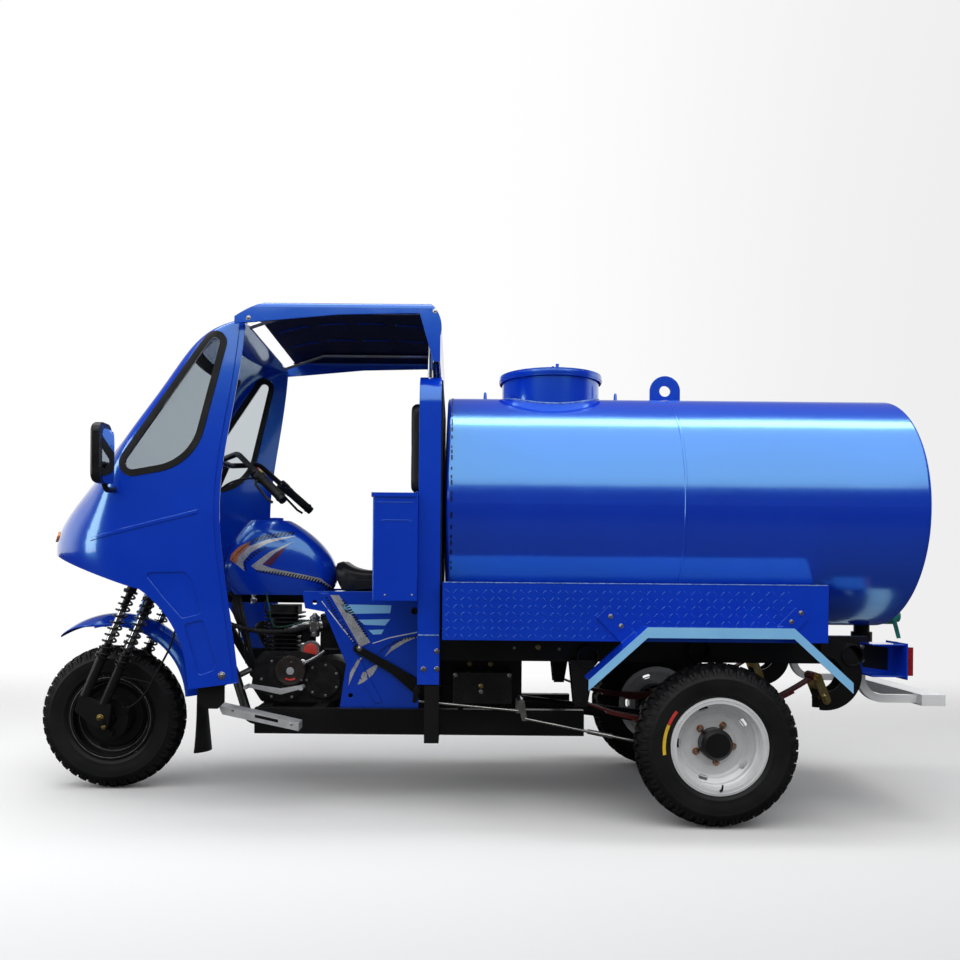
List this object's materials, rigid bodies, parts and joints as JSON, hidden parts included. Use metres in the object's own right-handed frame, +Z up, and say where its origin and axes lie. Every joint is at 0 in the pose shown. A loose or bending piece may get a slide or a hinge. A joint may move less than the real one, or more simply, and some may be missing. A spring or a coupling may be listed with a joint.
{
  "type": "water tanker tricycle",
  "caption": "Three-wheeled cargo motorcycle with a roofed front fairing and a horizontal cylindrical water tank behind the rider.",
  "frame": {"origin": "on the ground, under the middle of the whole vehicle", "axes": "+X forward, +Y to the rider's left, +Z up"},
  "size_m": [3.4399, 1.21, 1.8619],
  "materials": {
    "amber_plastic": "gloss",
    "black_leather": "satin",
    "black_paint": "satin",
    "black_plastic": "gloss",
    "black_rubber": "matte",
    "blue_paint": "gloss",
    "cast_alloy": "cast",
    "clear_glass": "gloss",
    "exhaust_steel": "satin",
    "gold_plate": "satin",
    "lamp_plastic": "gloss",
    "red_paint": "satin",
    "silver_paint": "satin",
    "spring_steel": "satin",
    "teal_paint": "gloss",
    "tube_steel": "gloss",
    "tyre": "matte",
    "white_paint": "gloss"
  },
  "bodies": {
    "chassis": {"backrest": "black_leather", "battery_box": "black_plastic", "brake_linkage": "spring_steel", "cab_brackets": "black_paint", "cab_shell": "blue_paint", "drain_valve": "teal_paint", "engine": "cast_alloy", "exhaust": "exhaust_steel", "foot_controls": "black_paint", "foot_steps": "cast_alloy", "fuel_tank": "blue_paint", "hand_lever": "black_paint", "headboard": "blue_paint", "headlamp": "lamp_plastic", "indicators": "amber_plastic", "leaf_springs": "red_paint", "lifting_lug": "blue_paint", "lower_frame": "black_paint", "main_frame": "black_paint", "manhole_neck": "blue_paint", "mirrors": "black_plastic", "mudguards": "blue_paint", "outlet_pipe": "black_paint", "prop_shaft": "black_paint", "rear_axle": "black_paint", "rear_bumper": "white_paint", "rear_lamps": "blue_paint", "roof": "blue_paint", "roof_tubes": "tube_steel", "seat": "black_leather", "side_covers": "blue_paint", "side_windows": "clear_glass", "spring_shackles": "gold_plate", "tank_aprons": "blue_paint", "tank_heads": "blue_paint", "tank_saddles": "blue_paint", "tank_shell": "blue_paint", "tool_boxes": "blue_paint", "window_seals": "black_rubber", "windscreen": "clear_glass"},
    "steering": {"fork": "black_paint", "fork_clamps": "black_paint", "fork_springs": "spring_steel", "handlebar": "black_paint", "front_fender": "blue_paint", "mud_flap": "black_rubber", "brake_cable": "black_rubber"},
    "front_wheel": {"front_tyre": "tyre", "front_rim": "black_paint", "front_hub": "black_paint"},
    "rear_wheel_left": {"rear_tyre_left": "tyre", "rear_rim_left": "silver_paint", "rear_hub_left": "black_paint"},
    "rear_wheel_right": {"rear_tyre_right": "tyre", "rear_rim_right": "silver_paint", "rear_hub_right": "black_paint"},
    "tool_box_lid_left": {"tool_box_lid_left": "blue_paint"},
    "tool_box_lid_right": {"tool_box_lid_right": "blue_paint"},
    "manhole_lid": {"manhole_lid": "blue_paint"}
  },
  "joints": [
    {"name": "steering_turn", "type": "hinge", "parent": "chassis", "child": "steering", "pos_m": [1.448, 0, 0.285], "axis": [-0.3923, 0, 0.9198], "range_deg": [-25, 25]},
    {"name": "front_wheel_spin", "type": "hinge", "parent": "steering", "child": "front_wheel", "pos_m": [1.448, 0, 0.285], "axis": [0, 1, 0], "continuous": true},
    {"name": "rear_left_wheel_spin", "type": "hinge", "parent": "chassis", "child": "rear_wheel_left", "pos_m": [-0.833, 0.49, 0.285], "axis": [0, 1, 0], "continuous": true},
    {"name": "rear_right_wheel_spin", "type": "hinge", "parent": "chassis", "child": "rear_wheel_right", "pos_m": [-0.833, -0.49, 0.285], "axis": [0, 1, 0], "continuous": true},
    {"name": "tool_box_lid_left_hinge", "type": "hinge", "parent": "chassis", "child": "tool_box_lid_left", "pos_m": [0.2183, 0.3985, 1.1543], "axis": [0, -1, 0], "range_deg": [0, 85]},
    {"name": "tool_box_lid_right_hinge", "type": "hinge", "parent": "chassis", "child": "tool_box_lid_right", "pos_m": [0.2183, -0.3985, 1.1543], "axis": [0, -1, 0], "range_deg": [0, 85]},
    {"name": "manhole_lid_hinge", "type": "hinge", "parent": "chassis", "child": "manhole_lid", "pos_m": [-0.295, -0.213, 1.642], "axis": [1, 0, 0], "range_deg": [0, 100]}
  ]
}
